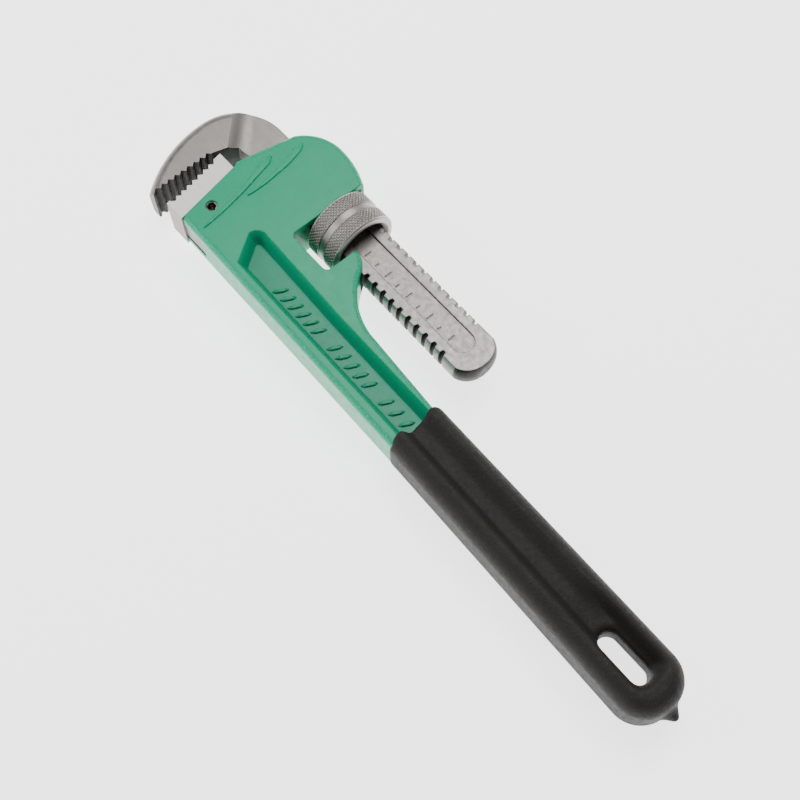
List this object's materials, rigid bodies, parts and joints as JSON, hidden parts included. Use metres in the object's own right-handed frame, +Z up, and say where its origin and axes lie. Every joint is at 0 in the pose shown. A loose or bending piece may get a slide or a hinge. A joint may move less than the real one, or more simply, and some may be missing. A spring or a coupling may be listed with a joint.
{
  "type": "pipe wrench",
  "caption": "Adjustable pipe wrench with a sliding hook jaw, a fixed toothed heel jaw, a knurled adjusting nut, a cast I-beam handle and a dipped grip.",
  "frame": {"origin": "bottom centre of the bounding box, the tool lying flat on its side", "axes": "+X from the jaws to the hanging slot, parallel to the threaded shank; +Y across the tool, from the handle to the shank; +Z up, through its thickness"},
  "size_m": [0.3076, 0.0758, 0.032],
  "materials": {
    "green_enamel": "gloss enamel over cast iron",
    "forged_steel": "satin forged",
    "ground_steel": "ground",
    "nut_steel": "knurled, bright",
    "spring_steel": "oiled",
    "black_vinyl": "matte dipped vinyl"
  },
  "bodies": {
    "frame": {"handle_frame": "green_enamel", "heel_jaw": "ground_steel", "heel_jaw_pin": "spring_steel", "leaf_spring": "spring_steel", "spring_rivet": "spring_steel", "handle_grip": "black_vinyl"},
    "rocker": {"coil_spring": "spring_steel"},
    "hook": {"hook_jaw": "forged_steel"},
    "nut": {"adjusting_nut": "nut_steel"}
  },
  "joints": [
    {"name": "jaw_rock", "type": "hinge", "parent": "frame", "child": "rocker", "pos_m": [-0.07325, 0.0169, 0.016], "axis": [0, 0, -1], "range_deg": [0, 3], "stiffness_Nm_per_rad": 8, "deforming": ["leaf_spring", "coil_spring"]},
    {"name": "jaw_slide", "type": "slide", "parent": "rocker", "child": "hook", "axis": [-1, 0, 0], "range_m": [-0.0018, 0.048]},
    {"name": "nut_spin", "type": "hinge", "parent": "rocker", "child": "nut", "pos_m": [-0.07325, 0.0169, 0.016], "axis": [1, 0, 0], "continuous": true}
  ],
  "couplings": [
    {"joint": "nut_spin", "follows": "jaw_slide", "rad_per_m": 1236.8}
  ]
}
